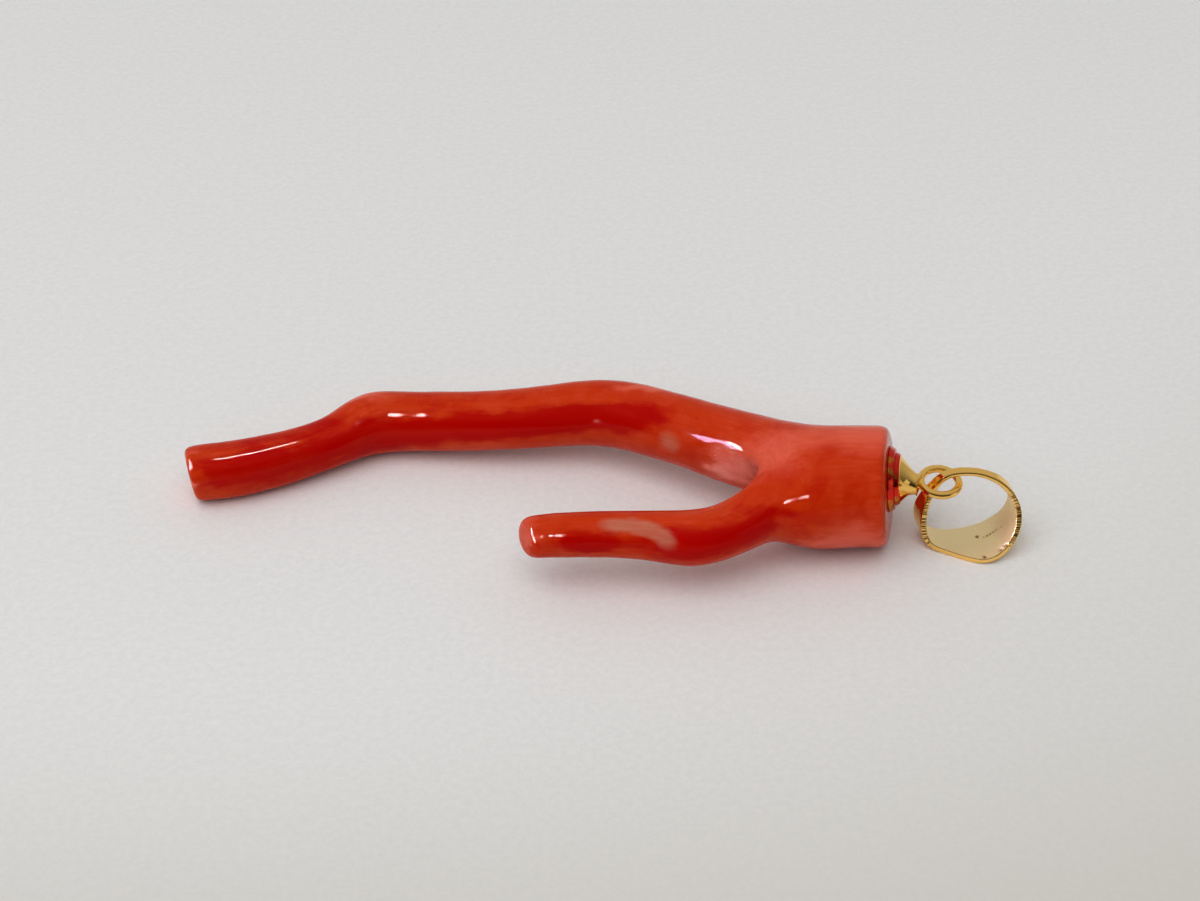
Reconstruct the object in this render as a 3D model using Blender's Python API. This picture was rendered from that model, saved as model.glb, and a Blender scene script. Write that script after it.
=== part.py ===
"""Red coral branch pendant: a forked, polished coral branch with a gold cap, eye ring and bail.

The branch lies on a table (z = 0) as it does in use as a loose pendant. +X runs along the piece
towards the gold bail, +Y is the side of the long branch, +Z is up. The origin is on the table
under the middle of the whole piece. Sizes below are in millimetres and become metres in mm().
"""
import math

import bmesh
import bpy
from mathutils import Matrix, Vector

# Coral branch
RING_POINTS = 8          # points round every ring of the coral cage
RING_SWELL = 1.108       # subdivision pulls an 8-point ring in, so the cage is drawn this much wider
SMOOTH_LEVELS = 2

# x, y, z, radius and squareness of each station, hand-fitted along the branch axis
TRUNK = [
    (17.3, -2.29, 4.31, 4.26, 0.0),
    (14.4, -2.6, 4.38, 4.36, 0.0),
]
CUT_FACE_CENTRE = (20.1, -2.4, 4.33)
CUT_FACE_NORMAL = (0.978, -0.175, 0.118)
CUT_FACE_RADIUS = 4.26
CUT_FACE_RIM = 1.3       # how far the rounding of the sawn edge reaches

FORK_AXIS = (10.4, -2.0, 4.16)
FORK_LONG_ROOT = (11.5, 0.6, 4.3, 3.08)
FORK_LONG_WAY = (-0.85, 0.5, 0.0)
FORK_SHORT_ROOT = (11.3, -4.5, 4.27, 2.32)
FORK_SHORT_WAY = (-0.84, -0.54, 0.0)
CROTCH = [(11.1, -3.5, 6.75), (14.6, -2.3, 4.2), (14.6, -1.7, 1.4)]

LONG_BRANCH = [
    (9.5, 2.15, 4.27, 2.72, 0.0),
    (6.9, 3.8, 4.14, 2.48, 0.0),
    (3.5, 5.85, 3.85, 2.5, 0.0),
    (0.8, 7.12, 3.62, 2.47, 0.0),
    (-1.9, 7.33, 3.4, 2.33, 0.0),
    (-5.8, 6.95, 3.07, 2.18, 0.02),
    (-10.9, 7.3, 2.65, 2.12, 0.03),
    (-14.6, 7.75, 2.35, 2.12, 0.03),
    (-16.5, 7.7, 2.28, 2.33, 0.03),
    (-17.9, 6.85, 2.2, 2.03, 0.05),
    (-19.4, 5.62, 2.03, 1.66, 0.08),
    (-22.4, 3.95, 1.95, 1.77, 0.12),
    (-26.4, 2.5, 1.92, 1.9, 0.13),
]
LONG_TIP_CENTRE = (-29.34, 2.02, 1.9)
LONG_TIP_NORMAL = (-0.96, -0.25, -0.12)
LONG_TIP_RADIUS = 1.86
LONG_TIP_RIM = 1.0
LONG_TIP_SQUARENESS = 0.1

SHORT_BRANCH = [
    (9.7, -6.1, 4.12, 1.92, 0.0),
    (8.1, -7.13, 4.02, 1.88, 0.0),
    (6.2, -7.6, 3.95, 1.97, 0.0),
    (4.2, -7.35, 4.0, 1.8, 0.0),
    (1.8, -7.12, 4.05, 1.57, 0.0),
    (-2.2, -7.47, 4.25, 1.57, 0.0),
]
SHORT_TIP_CENTRE = (-5.15, -7.83, 4.22)
SHORT_TIP_NORMAL = (-0.88, -0.45, 0.14)
SHORT_TIP_RADIUS = 1.46
SHORT_TIP_RIM = 1.35

# The branch is parted just left of the fork's crotch
FORK_CUT_X = 9.7
BETWEEN_BRANCHES_Y = -2.5
CUT_GAP = 0.04

# Gold cap, turned about the normal of the sawn face; heights are above that face
CAP_SEAT_GAP = 0.03
CAP_OFF_CENTRE = (0.45, 0.34)   # y and z from the face's centre to the cap's
DISC_1_FOOT_RADIUS = 2.33
DISC_1_TOP_RADIUS = 2.08
DISC_1_TOP = 0.41
DISC_2_FOOT_RADIUS = 1.87
DISC_2_TOP_RADIUS = 1.7
DISC_2_TOP = 0.76
DISC_LAND = 0.06                # straight edge at the foot of each disc
CONE_FOOT_RADIUS = 1.62
CONE_TIP_RADIUS = 0.78
CONE_CURVE = 1.75               # 1 would be a straight cone
CONE_TOP = 1.86
CONE_LEAN = (0.0, -0.22, -0.29)     # how far the cone's tip stands from the cap's axis
CONE_LEAN_GROWTH = 2.0
PEG_CHAMFER = 0.05
PEG_RADIUS = 0.45
PEG_LENGTH = 4.0
PEG_HOLE_RADIUS = 0.5
PEG_HOLE_DEPTH = 4.2
TURNED_SEGMENTS = 24

# Eye ring, a loop of round wire lying almost level at the cone's tip
EYE_WIRE_RADIUS = 0.25
EYE_RADIUS = 1.32
EYE_CENTRE = (23.518, -2.4815, 4.8304)
EYE_WAY = (0.984, -0.17, -0.045)
EYE_NEAR_SIDE_DROP = math.radians(5.0)
NECK_FOOT_RADIUS = 0.7
NECK_HEAD_RADIUS = 0.35

# Bail, a tapered band bent into a loop: x and z of the band's middle, y of its near and far edges
BAIL_THICKNESS = 0.42
BAIL_SKEW = math.tan(math.radians(10.0))
BAIL_STATIONS = [
    (22.8, 0.3, -4.1, -1.9),
    (24.3, 0.2, -4.75, -2.35),
    (26.3, 0.2, -5.9, -2.0),
    (27.7, 0.6, -5.3, -1.65),
    (28.7, 1.6, -4.5, -1.6),
    (29.0, 2.9, -3.75, -1.6),
    (28.5, 4.3, -3.25, -1.9),
    (27.15, 5.5, -2.95, -2.15),
    (25.4, 5.9, -2.88, -2.2),
    (24.0, 5.65, -2.85, -2.15),
    (23.3, 4.85, -2.85, -2.1),
    (22.75, 3.8, -3.0, -1.9),
    (22.35, 2.6, -3.4, -1.7),
    (22.35, 1.25, -3.8, -1.6),
]

CORAL_COLOUR = (0.62, 0.045, 0.02, 1.0)
CORAL_ROUGHNESS = 0.15
GOLD_COLOUR = (0.9, 0.66, 0.25, 1.0)
GOLD_ROUGHNESS = 0.18


def mm(*values):
    """Millimetres to a vector in metres."""
    return Vector(values) * 0.001


def clear_scene():
    for thing in list(bpy.data.objects):
        bpy.data.objects.remove(thing, do_unlink=True)


def make_material(name, colour, roughness, metallic):
    material = bpy.data.materials.new(name)
    material.use_nodes = True
    shader = material.node_tree.nodes["Principled BSDF"]
    shader.inputs["Base Color"].default_value = colour
    shader.inputs["Roughness"].default_value = roughness
    shader.inputs["Metallic"].default_value = metallic
    return material


def add_object(name, mesh, material=None):
    thing = bpy.data.objects.new(name, mesh)
    bpy.context.collection.objects.link(thing)
    if material:
        mesh.materials.clear()
        mesh.materials.append(material)
    return thing


def finish_mesh(bm, name, smooth=True):
    bmesh.ops.recalc_face_normals(bm, faces=bm.faces)
    mesh = bpy.data.meshes.new(name)
    bm.to_mesh(mesh)
    bm.free()
    if smooth:
        mesh.shade_smooth()
    return mesh


def ring_axes(way):
    """Side and up directions of a ring whose branch grows along way."""
    forward = Vector(way).normalized()
    up = Vector((0, 0, 1))
    up = (up - forward * up.dot(forward)).normalized()
    return forward.cross(up), up


def ring_place(centre, way, radius, squareness, index):
    side, up = ring_axes(way)
    angle = 2 * math.pi * index / RING_POINTS
    reach = radius * RING_SWELL * (1 + squareness * (index % 2))
    return mm(*centre) + (side * math.cos(angle) + up * math.sin(angle)) * reach * 0.001


def add_ring(bm, centre, way, radius, squareness=0.0):
    return [bm.verts.new(ring_place(centre, way, radius, squareness, i)) for i in range(RING_POINTS)]


def join_rings(bm, first, second, pairs=None):
    for i in pairs or range(RING_POINTS):
        j = (i + 1) % RING_POINTS
        bm.faces.new((first[i], second[i], second[j], first[j]))


def station_way(points, index):
    """Direction of the axis at a station, from its two neighbours."""
    before = Vector(points[max(index - 1, 0)][:3])
    after = Vector(points[min(index + 1, len(points) - 1)][:3])
    return after - before


def loft_branch(bm, ring, root, stations, tip_centre):
    """Rings along a branch from the fork's ring, up to its last station."""
    route = [root] + stations + [tip_centre]
    for index, (x, y, z, radius, squareness) in enumerate(stations, start=1):
        following = add_ring(bm, (x, y, z), station_way(route, index), radius, squareness)
        join_rings(bm, ring, following)
        ring = following
    return ring


def end_rings(centre, normal, radius, rim, before):
    """A flat end with a rounded rim: a ring behind it that leans half as much, the rim, one on the face."""
    centre = Vector(centre)
    facing = Vector(normal).normalized()
    axis = (centre - Vector(before[:3])).normalized()
    leaning = (facing + axis).normalized()
    return (
        (centre - leaning * rim, leaning, radius),
        (centre, facing, radius),
        (centre, facing, radius - rim),
    )


def close_end(bm, ring, rings, squareness=0.0):
    for place, way, radius in rings:
        following = add_ring(bm, place, way, radius, squareness)
        join_rings(bm, ring, following)
        ring = following
    bm.faces.new(ring)


def build_coral_cage():
    """One closed cage for the whole branch: a trunk that parts into two at its last ring."""
    bm = bmesh.new()
    route = [CUT_FACE_CENTRE] + [s[:3] for s in TRUNK] + [FORK_AXIS]
    rings = []
    for index, (x, y, z, radius, squareness) in enumerate(TRUNK, start=1):
        rings.append(add_ring(bm, (x, y, z), station_way(route, index), radius, squareness))
    for first, second in zip(rings, rings[1:]):
        join_rings(bm, first, second)
    close_trunk(bm, rings[0])

    fork = rings[-1]
    crotch = [bm.verts.new(mm(*place)) for place in CROTCH]
    long_root = fork_ring(bm, FORK_LONG_ROOT, FORK_LONG_WAY, {3: crotch[0], 4: crotch[1], 5: crotch[2]})
    short_root = fork_ring(bm, FORK_SHORT_ROOT, FORK_SHORT_WAY, {1: crotch[0], 0: crotch[1], 7: crotch[2]})
    join_rings(bm, fork, long_root, (6, 7, 0, 1))
    join_rings(bm, fork, short_root, (2, 3, 4, 5))
    bm.faces.new((fork[2], long_root[2], crotch[0], short_root[2]))
    bm.faces.new((fork[6], short_root[6], crotch[2], long_root[6]))

    end = loft_branch(bm, long_root, FORK_LONG_ROOT, LONG_BRANCH, LONG_TIP_CENTRE)
    tip = end_rings(LONG_TIP_CENTRE, LONG_TIP_NORMAL, LONG_TIP_RADIUS, LONG_TIP_RIM, LONG_BRANCH[-1])
    close_end(bm, end, tip, LONG_TIP_SQUARENESS)
    end = loft_branch(bm, short_root, FORK_SHORT_ROOT, SHORT_BRANCH, SHORT_TIP_CENTRE)
    tip = end_rings(SHORT_TIP_CENTRE, SHORT_TIP_NORMAL, SHORT_TIP_RADIUS, SHORT_TIP_RIM, SHORT_BRANCH[-1])
    close_end(bm, end, tip)
    return finish_mesh(bm, "coral_cage")


def close_trunk(bm, ring):
    """The sawn end of the trunk, built like the tips but running the other way round."""
    face = end_rings(CUT_FACE_CENTRE, CUT_FACE_NORMAL, CUT_FACE_RADIUS, CUT_FACE_RIM, TRUNK[0])
    for place, way, radius in face:
        following = add_ring(bm, place, -way, radius)
        join_rings(bm, following, ring)
        ring = following
    bm.faces.new(ring)


def fork_ring(bm, root, way, shared):
    """A ring at a branch's root, with the crotch's points in place of its inner ones."""
    *centre, radius = root
    ring = []
    for index in range(RING_POINTS):
        if index in shared:
            ring.append(shared[index])
        else:
            ring.append(bm.verts.new(ring_place(centre, way, radius, 0.0, index)))
    return ring


def add_smoothing(thing, levels):
    smoothing = thing.modifiers.new("smooth", "SUBSURF")
    smoothing.levels = levels
    smoothing.render_levels = levels


def add_boolean(thing, cutter, operation):
    boolean = thing.modifiers.new(operation.lower(), "BOOLEAN")
    boolean.operation = operation
    boolean.solver = "EXACT"
    boolean.object = cutter


def hide_as_cutter(thing):
    thing.hide_render = True
    thing.display_type = "WIRE"


def add_zone(name, low, high):
    """A box that keeps one part of the branch."""
    bm = bmesh.new()
    bmesh.ops.create_cube(bm, size=1.0)
    low, high = mm(*low), mm(*high)
    bmesh.ops.scale(bm, vec=high - low, verts=bm.verts)
    bmesh.ops.translate(bm, vec=(low + high) / 2, verts=bm.verts)
    zone = add_object(name, finish_mesh(bm, name, smooth=False))
    hide_as_cutter(zone)
    return zone


def cap_frame():
    """Matrix whose +Z stands on the sawn face at the cap's centre, along the face's normal."""
    normal = Vector(CUT_FACE_NORMAL).normalized()
    offset = Vector((0, *CAP_OFF_CENTRE))
    offset.x = -offset.dot(normal) / normal.x
    turn = normal.to_track_quat("Z", "X").to_matrix().to_4x4()
    return Matrix.Translation(mm(*(Vector(CUT_FACE_CENTRE) + offset))) @ turn


def turned_mesh(name, profile):
    """A closed solid turned about Z from (radius, height) points that start and end on the axis."""
    bm = bmesh.new()
    poles = [bm.verts.new(mm(0, 0, profile[0][1])), bm.verts.new(mm(0, 0, profile[-1][1]))]
    rings = []
    for radius, height in profile[1:-1]:
        ring = []
        for i in range(TURNED_SEGMENTS):
            angle = 2 * math.pi * i / TURNED_SEGMENTS
            ring.append(bm.verts.new(mm(radius * math.cos(angle), radius * math.sin(angle), height)))
        rings.append(ring)
    for i in range(TURNED_SEGMENTS):
        j = (i + 1) % TURNED_SEGMENTS
        bm.faces.new((poles[0], rings[0][j], rings[0][i]))
        bm.faces.new((poles[1], rings[-1][i], rings[-1][j]))
        for first, second in zip(rings, rings[1:]):
            bm.faces.new((first[i], first[j], second[j], second[i]))
    mesh = finish_mesh(bm, name)
    mesh.set_sharp_from_angle(angle=math.radians(30))
    return mesh


def slant(mesh, low, high, start, end, growth=1.0):
    """Moves each level sideways, from start at the low level to end at the high one."""
    for vertex in mesh.vertices:
        share = min(max((vertex.co.z * 1000 - low) / (high - low), 0.0), 1.0) ** growth
        vertex.co.x += start.x + (end.x - start.x) * share
        vertex.co.y += start.y + (end.y - start.y) * share


def cone_lean():
    """The lean of the cone's tip, in the cap's own frame."""
    return cap_frame().to_3x3().inverted() @ mm(*CONE_LEAN)


def cone_profile():
    """Trumpet curve of the cone, hollowed between its foot and its tip."""
    points = []
    steps = 6
    for i in range(steps + 1):
        t = i / steps
        radius = CONE_TIP_RADIUS + (CONE_FOOT_RADIUS - CONE_TIP_RADIUS) * (1 - t) ** CONE_CURVE
        points.append((radius, DISC_2_TOP + (CONE_TOP - DISC_2_TOP) * t))
    return points


def build_cap(material):
    profile = [
        (0, -PEG_LENGTH),
        (PEG_RADIUS - PEG_CHAMFER, -PEG_LENGTH),
        (PEG_RADIUS, PEG_CHAMFER - PEG_LENGTH),
        (PEG_RADIUS, CAP_SEAT_GAP),
        (DISC_1_FOOT_RADIUS, CAP_SEAT_GAP),
        (DISC_1_FOOT_RADIUS, CAP_SEAT_GAP + DISC_LAND),
        (DISC_1_TOP_RADIUS, DISC_1_TOP),
        (DISC_2_FOOT_RADIUS, DISC_1_TOP),
        (DISC_2_FOOT_RADIUS, DISC_1_TOP + DISC_LAND),
        (DISC_2_TOP_RADIUS, DISC_2_TOP),
        *cone_profile(),
        (0, CONE_TOP),
    ]
    mesh = turned_mesh("cap", profile)
    slant(mesh, DISC_2_TOP, CONE_TOP, Vector((0, 0)), cone_lean(), CONE_LEAN_GROWTH)
    cap = add_object("cap", mesh, material)
    cap.matrix_world = cap_frame()
    return cap


def eye_frame():
    """Frame of the eye ring: X away from the cone, Z up and dropped towards the near side."""
    along = Vector(EYE_WAY).normalized()
    across = Vector((0, 0, 1)).cross(along).normalized()
    level = along.cross(across)
    tilt = Matrix.Rotation(EYE_NEAR_SIDE_DROP, 3, along)
    across, level = tilt @ across, tilt @ level
    frame = Matrix((along, across, level)).transposed().to_4x4()
    return Matrix.Translation(mm(*EYE_CENTRE)) @ frame


def build_eye_ring(material):
    ring_steps = 24
    wire_steps = 8
    bm = bmesh.new()
    rings = []
    for i in range(ring_steps):
        around = 2 * math.pi * i / ring_steps
        ring = []
        for j in range(wire_steps):
            angle = 2 * math.pi * j / wire_steps
            reach = EYE_RADIUS + EYE_WIRE_RADIUS * math.cos(angle)
            height = EYE_WIRE_RADIUS * math.sin(angle)
            ring.append(bm.verts.new(mm(reach * math.cos(around), reach * math.sin(around), height)))
        rings.append(ring)
    for i in range(ring_steps):
        for j in range(wire_steps):
            k = (j + 1) % wire_steps
            first, second = rings[i], rings[(i + 1) % ring_steps]
            bm.faces.new((first[j], second[j], second[k], first[k]))
    eye = add_object("eye_ring", finish_mesh(bm, "eye_ring"), material)
    eye.matrix_world = eye_frame()

    # The neck runs from just above the cone's tip into the ring's wire
    wire = cap_frame().inverted() @ eye_frame() @ mm(-EYE_RADIUS, 0, 0)
    neck_foot = CONE_TOP + CAP_SEAT_GAP
    neck_head = wire.z * 1000
    profile = [
        (0, neck_foot),
        (NECK_FOOT_RADIUS, neck_foot),
        (NECK_HEAD_RADIUS, neck_head),
        (0, neck_head),
    ]
    mesh = turned_mesh("eye_neck", profile)
    slant(mesh, neck_foot, neck_head, cone_lean(), wire)
    neck = add_object("eye_neck", mesh)
    neck.matrix_world = cap_frame()
    hide_as_cutter(neck)
    add_boolean(eye, neck, "UNION")
    return eye


def build_bail(material, pivot):
    """The band as a four-sided cage round the loop, its long edges creased and its bends smoothed."""
    bm = bmesh.new()
    crease = bm.edges.layers.float.new("crease_edge")
    count = len(BAIL_STATIONS)
    rings = []
    for index, (x, z, near, far) in enumerate(BAIL_STATIONS):
        before = Vector((BAIL_STATIONS[index - 1][0], 0, BAIL_STATIONS[index - 1][1]))
        after = Vector((BAIL_STATIONS[(index + 1) % count][0], 0, BAIL_STATIONS[(index + 1) % count][1]))
        outward = (after - before).normalized().cross(Vector((0, -1, 0)))
        middle = (near + far) / 2
        ring = []
        for y, side in ((near, 1), (far, 1), (far, -1), (near, -1)):
            place = Vector((x - BAIL_SKEW * (y - middle), y, z)) + outward * side * BAIL_THICKNESS / 2
            ring.append(bm.verts.new(mm(*place) - pivot))
        rings.append(ring)
    for index in range(count):
        first, second = rings[index], rings[(index + 1) % count]
        for i in range(4):
            j = (i + 1) % 4
            bm.faces.new((first[i], second[i], second[j], first[j]))
    for index in range(count):
        for i in range(4):
            edge = bm.edges.get((rings[index][i], rings[(index + 1) % count][i]))
            edge[crease] = 1.0
    bail = add_object("bail", finish_mesh(bm, "bail"), material)
    add_smoothing(bail, SMOOTH_LEVELS)
    hinge = bpy.data.objects.new("bail_hinge", None)
    bpy.context.collection.objects.link(hinge)
    hinge.location = pivot
    bail.parent = hinge
    return bail


def build_coral(material):
    """Trunk, long branch and short branch, each kept from the same cage by its own zone."""
    mesh = build_coral_cage()
    half = CUT_GAP / 2
    zones = {
        "coral_trunk": ((FORK_CUT_X + half, -20, -5), (30, 20, 15)),
        "coral_long_branch": ((-40, BETWEEN_BRANCHES_Y, -5), (FORK_CUT_X - half, 20, 15)),
        "coral_short_branch": ((-40, -20, -5), (FORK_CUT_X - half, BETWEEN_BRANCHES_Y, 15)),
    }
    pieces = {}
    for name, (low, high) in zones.items():
        piece = add_object(name, mesh.copy(), material)
        add_smoothing(piece, SMOOTH_LEVELS)
        add_boolean(piece, add_zone(name + "_zone", low, high), "INTERSECT")
        pieces[name] = piece

    drill_profile = [
        (0, -PEG_HOLE_DEPTH),
        (PEG_HOLE_RADIUS, -PEG_HOLE_DEPTH),
        (PEG_HOLE_RADIUS, 1.0),
        (0, 1.0),
    ]
    drill = add_object("peg_drill", turned_mesh("peg_drill", drill_profile))
    drill.matrix_world = cap_frame()
    hide_as_cutter(drill)
    add_boolean(pieces["coral_trunk"], drill, "DIFFERENCE")
    return pieces


def main():
    clear_scene()
    coral = make_material("coral", CORAL_COLOUR, CORAL_ROUGHNESS, 0.0)
    gold = make_material("gold", GOLD_COLOUR, GOLD_ROUGHNESS, 1.0)
    build_coral(coral)
    build_cap(gold)
    build_eye_ring(gold)
    # The bail swings on the wire at the far end of the eye ring
    pivot = eye_frame() @ mm(EYE_RADIUS, 0, 0)
    build_bail(gold, pivot)


main()
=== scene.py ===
import math

import bmesh
import bpy
import numpy as np
from mathutils import Matrix, Vector, noise


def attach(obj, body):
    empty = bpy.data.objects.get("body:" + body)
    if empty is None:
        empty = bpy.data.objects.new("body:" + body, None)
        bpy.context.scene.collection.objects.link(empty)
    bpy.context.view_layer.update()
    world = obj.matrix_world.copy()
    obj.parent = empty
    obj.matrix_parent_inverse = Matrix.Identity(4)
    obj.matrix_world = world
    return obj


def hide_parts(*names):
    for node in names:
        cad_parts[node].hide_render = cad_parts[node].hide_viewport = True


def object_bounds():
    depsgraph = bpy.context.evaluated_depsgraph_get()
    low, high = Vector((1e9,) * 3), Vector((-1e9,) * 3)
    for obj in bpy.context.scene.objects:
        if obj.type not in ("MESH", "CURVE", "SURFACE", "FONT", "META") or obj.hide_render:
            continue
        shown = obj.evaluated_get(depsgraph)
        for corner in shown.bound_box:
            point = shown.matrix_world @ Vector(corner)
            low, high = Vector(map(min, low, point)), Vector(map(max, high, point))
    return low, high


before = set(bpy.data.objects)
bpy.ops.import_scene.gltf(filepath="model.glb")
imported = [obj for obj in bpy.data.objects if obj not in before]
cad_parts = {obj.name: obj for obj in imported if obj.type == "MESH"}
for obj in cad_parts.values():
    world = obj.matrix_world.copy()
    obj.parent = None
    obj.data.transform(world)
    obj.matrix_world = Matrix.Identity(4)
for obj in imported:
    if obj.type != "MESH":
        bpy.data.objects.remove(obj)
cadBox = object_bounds()
unit = 0.001            # every size below is in millimetres
perMetre = 1000.0       # millimetres
mergeGap = 1e-7         # metres


class Wire:
    # a node socket with the tree it is in, so that node maths reads as Python
    def __init__(self, tree, socket=None):
        self.tree = tree
        self.socket = socket

    # settings go on the node first, then its inputs get their values or links
    def node(self, kind, settings=None, inputs=None, output=0):
        made = self.tree.nodes.new(kind)
        for name, value in (settings or {}).items():
            setattr(made, name, value)
        for name, value in (inputs or {}).items():
            if isinstance(value, Wire):
                self.tree.links.new(value.socket, made.inputs[name])
            else:
                made.inputs[name].default_value = value
        return Wire(self.tree, made.outputs[output])

    # vectors and colours go through Vector Math
    def isWide(self, value):
        if isinstance(value, Wire):
            return value.socket.type in ("VECTOR", "RGBA")
        return isinstance(value, (tuple, Vector))

    def maths(self, operation, *values):
        if not any(self.isWide(value) for value in values):
            return self.node("ShaderNodeMath", {"operation": operation}, dict(enumerate(values)))
        widened = [v if isinstance(v, Wire) or self.isWide(v) else (v, v, v) for v in values]
        return self.node("ShaderNodeVectorMath", {"operation": operation}, dict(enumerate(widened)))

    def __add__(self, other):
        return self.maths("ADD", self, other)

    def __radd__(self, other):
        return self.maths("ADD", other, self)

    def __sub__(self, other):
        return self.maths("SUBTRACT", self, other)

    def __rsub__(self, other):
        return self.maths("SUBTRACT", other, self)

    def __mul__(self, other):
        return self.maths("MULTIPLY", self, other)

    def __rmul__(self, other):
        return self.maths("MULTIPLY", other, self)

    def __truediv__(self, other):
        return self.maths("DIVIDE", self, other)

    def __pow__(self, other):
        return self.maths("POWER", self, other)

    # 0 where the value is at low, 1 at high, and smooth between
    def step(self, low, high):
        settings = {"interpolation_type": "SMOOTHSTEP"}
        return self.node("ShaderNodeMapRange", settings, {"Value": self, "From Min": low, "From Max": high})

    def part(self, letter):
        return self.node("ShaderNodeSeparateXYZ", {}, {0: self}, letter)

    def texture(self, scale, detail=4.0, roughness=0.55, distortion=0.0):
        return self.node("ShaderNodeTexNoise", {}, {
            "Vector": self, "Scale": scale, "Detail": detail, "Roughness": roughness,
            "Distortion": distortion}, 0)

    # mask is 0 for this colour and 1 for the other
    def blend(self, other, mask):
        other = (*other, 1.0) if isinstance(other, tuple) else other
        return self.node("ShaderNodeMix", {"data_type": "RGBA"}, {0: mask, 6: self, 7: other}, 2)

    def colour(self, value):
        return self.node("ShaderNodeCombineXYZ", {}, dict(enumerate(value)))

    # a point attribute that the mesh brings along
    def layer(self, name, output="Fac"):
        return self.node("ShaderNodeAttribute", {"attribute_name": name}, {}, output)

    # the surface point in millimetres
    def surface(self):
        return self.node("ShaderNodeTexCoord", {}, {}, "Object") * perMetre

    def feed(self, shader, name):
        self.tree.links.new(self.socket, shader.inputs[name])


# A material with its fixed values on the shader, and a wire to start its nodes from
def startMaterial(name, fixed):
    material = bpy.data.materials.new(name)
    material.use_nodes = True
    shader = material.node_tree.nodes["Principled BSDF"]
    for socket, value in fixed.items():
        shader.inputs[socket].default_value = value
    return material, shader, Wire(material.node_tree)


def addObject(name, mesh, material=None):
    thing = bpy.data.objects.new(name, mesh)
    bpy.context.scene.collection.objects.link(thing)
    if material:
        mesh.materials.clear()
        mesh.materials.append(material)
    return thing


# The evaluated shape as a plain mesh on a new object, moved and scaled into place; the old one goes
def freeze(thing, name, material, place=None):
    depsgraph = bpy.context.evaluated_depsgraph_get()
    depsgraph.update()
    mesh = bpy.data.meshes.new_from_object(thing.evaluated_get(depsgraph))
    bpy.data.objects.remove(thing, do_unlink=True)
    if place is not None:
        mesh.transform(place)
    bm = bmesh.new()
    bm.from_mesh(mesh)
    bmesh.ops.remove_doubles(bm, verts=bm.verts, dist=mergeGap)
    bmesh.ops.recalc_face_normals(bm, faces=bm.faces)
    bm.to_mesh(mesh)
    bm.free()
    mesh.name = name
    mesh.shade_smooth()
    return addObject(name, mesh, material)


# A Geometry Nodes tree with named inputs, and a wire from each of them
def startTree(name, inputs):
    kinds = {float: "NodeSocketFloat", int: "NodeSocketInt", bpy.types.Material: "NodeSocketMaterial"}
    tree = bpy.data.node_groups.new(name, "GeometryNodeTree")
    tree.interface.new_socket("Shape", in_out="INPUT", socket_type="NodeSocketGeometry")
    for label, value in inputs.items():
        tree.interface.new_socket(label, in_out="INPUT", socket_type=kinds[type(value)])
    tree.interface.new_socket("Shape", in_out="OUTPUT", socket_type="NodeSocketGeometry")
    source = tree.nodes.new("NodeGroupInput")
    return tree, {socket.name: Wire(tree, socket) for socket in source.outputs if socket.name}


def endTree(tree, shape, material):
    shape = shape.node("GeometryNodeRealizeInstances", {}, {"Geometry": shape})
    shape = shape.node("GeometryNodeSetMaterial", {}, {"Geometry": shape, "Material": material})
    sink = tree.nodes.new("NodeGroupOutput")
    tree.links.new(shape.socket, sink.inputs["Shape"])


# An object that runs the tree, its inputs set before it is first evaluated
def runTree(name, mesh, tree, inputs):
    thing = addObject(name, mesh)
    modifier = thing.modifiers.new("shape", "NODES")
    modifier.node_group = tree
    for item in tree.interface.items_tree:
        if item.in_out == "INPUT" and item.name in inputs:
            modifier[item.identifier] = inputs[item.name]
    return thing


print("stage: camera")
photoCamera = {
    "target": (0.0, 3.566, 2.868),
    "distance": 172.5,
    "elevation": 38.0,
    "lens": 72.18,
    "sensor": 36.0,
    "clip": (0.001, 10.0),      # metres
}


def addCamera():
    camera = bpy.data.objects.new("photoCamera", bpy.data.cameras.new("photoCamera"))
    bpy.context.scene.collection.objects.link(camera)
    rise = math.radians(photoCamera["elevation"])
    back = Vector((0.0, -math.cos(rise), math.sin(rise)))
    camera.location = (Vector(photoCamera["target"]) + back * photoCamera["distance"]) * unit
    camera.rotation_euler = (-back).to_track_quat("-Z", "Y").to_euler()
    camera.data.sensor_width = photoCamera["sensor"]
    camera.data.lens = photoCamera["lens"]
    camera.data.clip_start, camera.data.clip_end = photoCamera["clip"]
    bpy.context.scene.camera = camera


addCamera()

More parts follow.
